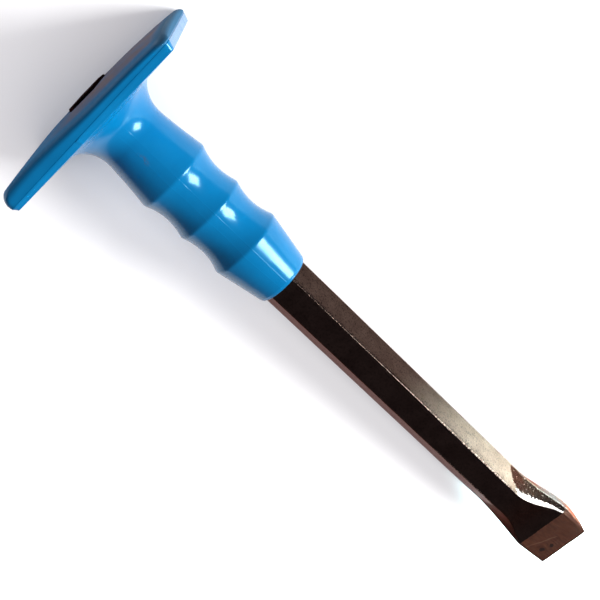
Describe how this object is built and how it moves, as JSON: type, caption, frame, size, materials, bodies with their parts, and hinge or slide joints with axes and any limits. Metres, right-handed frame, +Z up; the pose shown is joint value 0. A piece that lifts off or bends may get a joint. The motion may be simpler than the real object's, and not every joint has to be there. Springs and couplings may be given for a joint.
{
  "type": "cold chisel",
  "caption": "Flat cold chisel: hexagonal black steel bar with flared, ground blade, in a blue moulded hand guard with a domed plate and ribbed grip.",
  "frame": {"origin": "centre of the bounding box at the surface that the tool lies on", "axes": "+X from the cutting edge towards the struck end, in plan; +Y across the blade's width; +Z up, out of the blade's upper wide face. The tool's own axis is tilted 5.28 degrees up towards the struck end."},
  "size_m": [0.2996, 0.0866, 0.0647],
  "materials": {
    "black_steel": "glossy black-brown lacquer over forged steel, worn bright on the corners, ground bare at the bevel",
    "blue_plastic": "glossy moulded blue plastic, slightly scuffed"
  },
  "bodies": {
    "chisel": {"chisel": "black_steel"},
    "guard": {"hand_guard": "blue_plastic"}
  },
  "joints": [
    {"name": "guard_slide", "type": "slide", "parent": "chisel", "child": "guard", "axis": [0.9958, 0, 0.0919], "range_m": [-0.14, 0.1]}
  ]
}
